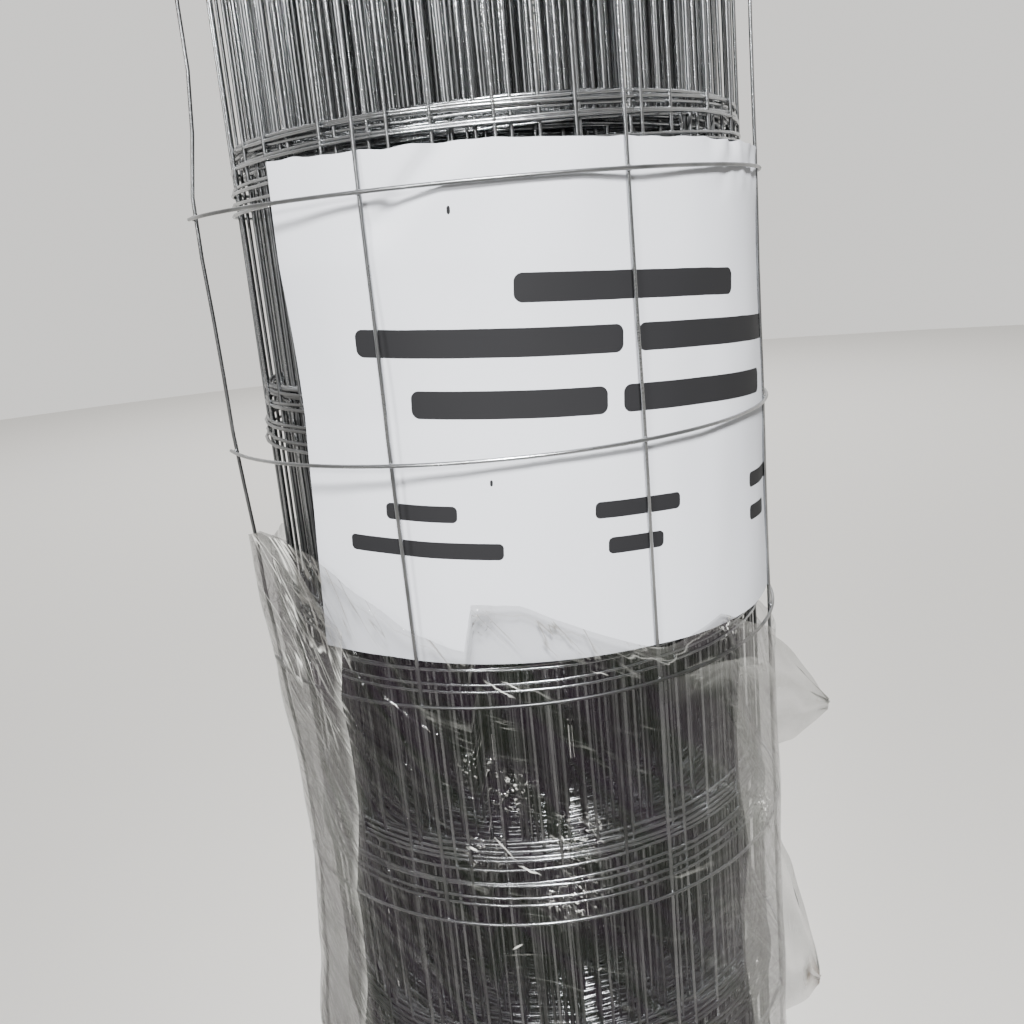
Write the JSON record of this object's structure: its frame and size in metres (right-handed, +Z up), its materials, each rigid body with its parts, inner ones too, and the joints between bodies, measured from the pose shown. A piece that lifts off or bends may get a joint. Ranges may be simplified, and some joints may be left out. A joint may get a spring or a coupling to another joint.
{
  "type": "roll of roof mesh",
  "caption": "Roll of galvanised welded wire mesh on end, with a loose last turn, a paper label under it and a band of clear stretch film.",
  "frame": {"origin": "at the roll's foot, on the axis of its bore", "axes": "+Z up along the roll, which stands on its end; -Y is the side that the label faces, +X to the right of it"},
  "size_m": [0.2076, 0.1841, 1.804],
  "materials": {
    "galvanised_wire": "bright zinc, a little dull in places",
    "label_paper": "plain white paper, matt",
    "stretch_film": "clear glossy film with creases"
  },
  "bodies": {
    "root": {"mesh_roll": "galvanised_wire", "paper_label": "label_paper", "film_wrap": "stretch_film"}
  },
  "joints": []
}
